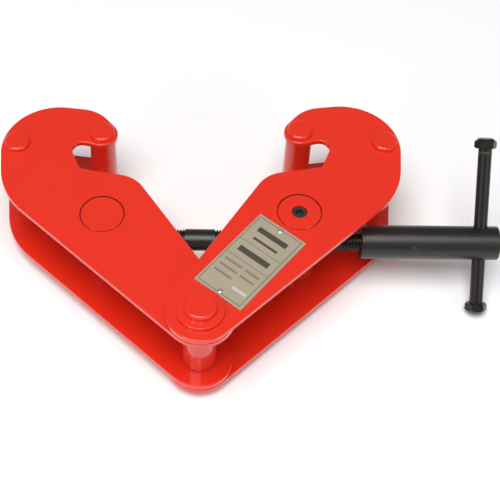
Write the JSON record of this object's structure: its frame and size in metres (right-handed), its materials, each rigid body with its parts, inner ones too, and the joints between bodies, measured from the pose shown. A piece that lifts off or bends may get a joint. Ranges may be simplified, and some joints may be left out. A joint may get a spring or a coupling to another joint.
{
  "type": "beam clamp",
  "caption": "Adjustable scissor-arm beam clamp: hooked double-plate arms on a load pin, a left- and right-hand screw spindle with a sliding tommy bar.",
  "frame": {"origin": "on the load pin's axis at mid-width, which is also the middle of the suspension sleeve", "axes": "+X along the spindle towards its tommy bar, +Y from the load pin towards the jaws (up when the clamp hangs on a beam), +Z along the load pin out of the nameplate side"},
  "size_m": [0.3356, 0.1932, 0.0948],
  "materials": {
    "red_paint": "glossy red paint over steel",
    "black_steel": "satin black oxide",
    "plate_metal": "satin, printed border",
    "rivet_metal": "bright"
  },
  "bodies": {
    "outer_arm": {"outer_front_plate": "red_paint", "outer_back_plate": "red_paint", "outer_jaw_bar": "red_paint", "outer_shoulder_bar": "red_paint", "load_pin": "red_paint", "front_pin_washer": "red_paint", "back_pin_washer": "red_paint", "nameplate": "plate_metal", "nameplate_rivets": "rivet_metal"},
    "inner_arm": {"inner_front_plate": "red_paint", "inner_back_plate": "red_paint", "inner_jaw_bar": "red_paint", "inner_shoulder_bar": "red_paint"},
    "sleeve": {"suspension_sleeve": "red_paint"},
    "outer_nut": {"outer_trunnion_nut": "red_paint"},
    "inner_nut": {"inner_trunnion_nut": "red_paint"},
    "lock_screw": {"lock_screw": "black_steel"},
    "collar": {"spindle_collar": "black_steel"},
    "spindle": {"spindle": "black_steel", "spindle_head": "black_steel"},
    "tommy": {"tommy_bar": "black_steel", "tommy_bar_nut": "black_steel"}
  },
  "joints": [
    {"name": "inner_arm_swing", "type": "hinge", "parent": "outer_arm", "child": "inner_arm", "pos_m": [0, 0, 0], "axis": [0, 0, 1], "range_deg": [-36.64, 27.63]},
    {"name": "outer_nut_turn", "type": "hinge", "parent": "outer_arm", "child": "outer_nut", "pos_m": [0.06439, 0.07756, 0], "axis": [0, 0, 1], "range_deg": [-18.32, 13.81]},
    {"name": "inner_nut_turn", "type": "hinge", "parent": "inner_arm", "child": "inner_nut", "pos_m": [-0.06439, 0.07756, 0], "axis": [0, 0, 1], "range_deg": [-13.81, 18.32]},
    {"name": "spindle_feed", "type": "slide", "parent": "outer_nut", "child": "collar", "axis": [-1, 0, 0], "range_m": [-0.0248, 0.0187]},
    {"name": "spindle_spin", "type": "hinge", "parent": "collar", "child": "spindle", "pos_m": [0, 0.07756, 0], "axis": [1, 0, 0], "range_deg": [-4458.75, 3362.34]},
    {"name": "tommy_slide", "type": "slide", "parent": "spindle", "child": "tommy", "axis": [0, 0.6691, 0.7431], "range_m": [-0.0527, 0.03]},
    {"name": "sleeve_turn", "type": "hinge", "parent": "outer_arm", "child": "sleeve", "pos_m": [0, 0, 0], "axis": [0, 0, 1], "continuous": true},
    {"name": "lock_screw_feed", "type": "slide", "parent": "outer_nut", "child": "lock_screw", "axis": [0, 0, -1], "range_m": [-0.003, 0.0008]}
  ],
  "couplings": [
    {"joint": "inner_arm_swing", "follows": "spindle_spin", "ratio": 0.0082086},
    {"joint": "outer_nut_turn", "follows": "spindle_spin", "ratio": 0.0041043},
    {"joint": "inner_nut_turn", "follows": "spindle_spin", "ratio": -0.0041043},
    {"joint": "spindle_feed", "follows": "spindle_spin", "m_per_rad": 0.00031831}
  ]
}
